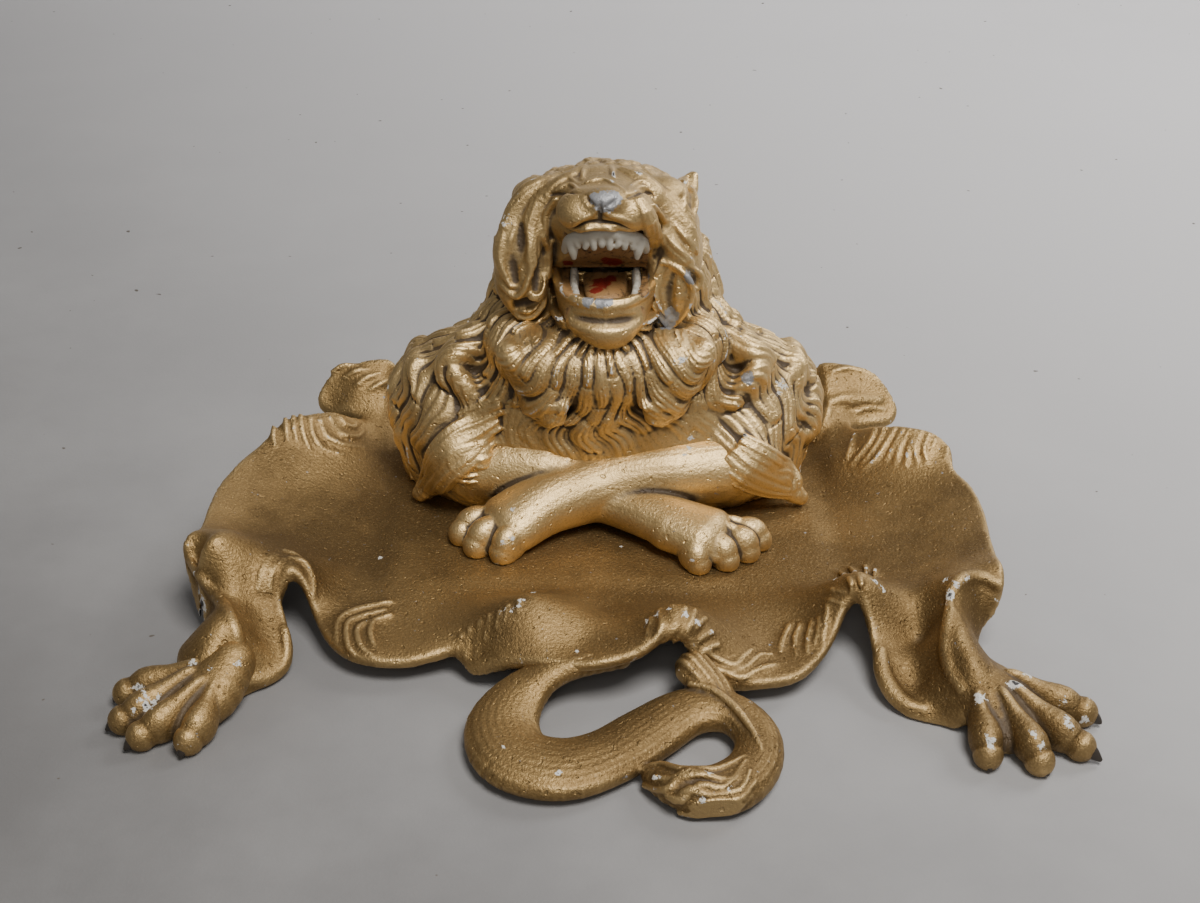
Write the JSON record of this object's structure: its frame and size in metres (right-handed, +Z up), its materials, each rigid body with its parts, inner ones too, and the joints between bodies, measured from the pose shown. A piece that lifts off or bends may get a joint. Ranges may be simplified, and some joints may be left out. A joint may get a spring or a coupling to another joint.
{
  "type": "desk inkstand",
  "caption": "Figural desk inkstand: a hide-shaped pen tray on paws and tail, with a lion's bust whose head is a hinged lid over a glass ink pot.",
  "frame": {"origin": "on the table, under the middle of the part's box", "axes": "+Z up, -Y to the front where the tail and the front paws lie, +X to the right as seen from the front"},
  "size_m": [0.3372, 0.2362, 0.152],
  "materials": {
    "gold_hide": "gold-bronze paint over white ground, browned on the floor, chipped on ridges",
    "gold_lion": "gold-bronze paint, rubbed bright on high locks, dark in the hollows",
    "gold_head": "gold-bronze paint, nose worn to bare metal, white teeth, red mouth",
    "pin_steel": "plain turned pin, browned",
    "screw_steel": "slotted heads, browned",
    "pot_glass": "pressed clear glass"
  },
  "bodies": {
    "tray_and_bust": {"skin_tray": "gold_hide", "lion_bust": "gold_lion", "hinge_pin": "pin_steel", "ink_pot": "pot_glass", "bust_screw_left": "screw_steel", "bust_screw_right": "screw_steel", "bust_screw_rear": "screw_steel", "bust_washer_left": "screw_steel", "bust_washer_right": "screw_steel", "bust_washer_rear": "screw_steel"},
    "head": {"head_lid": "gold_head"}
  },
  "joints": [
    {"name": "head_hinge", "type": "hinge", "parent": "tray_and_bust", "child": "head", "pos_m": [0.001, 0.109, 0.1135], "axis": [-1, 0, 0], "range_deg": [0, 95]}
  ]
}
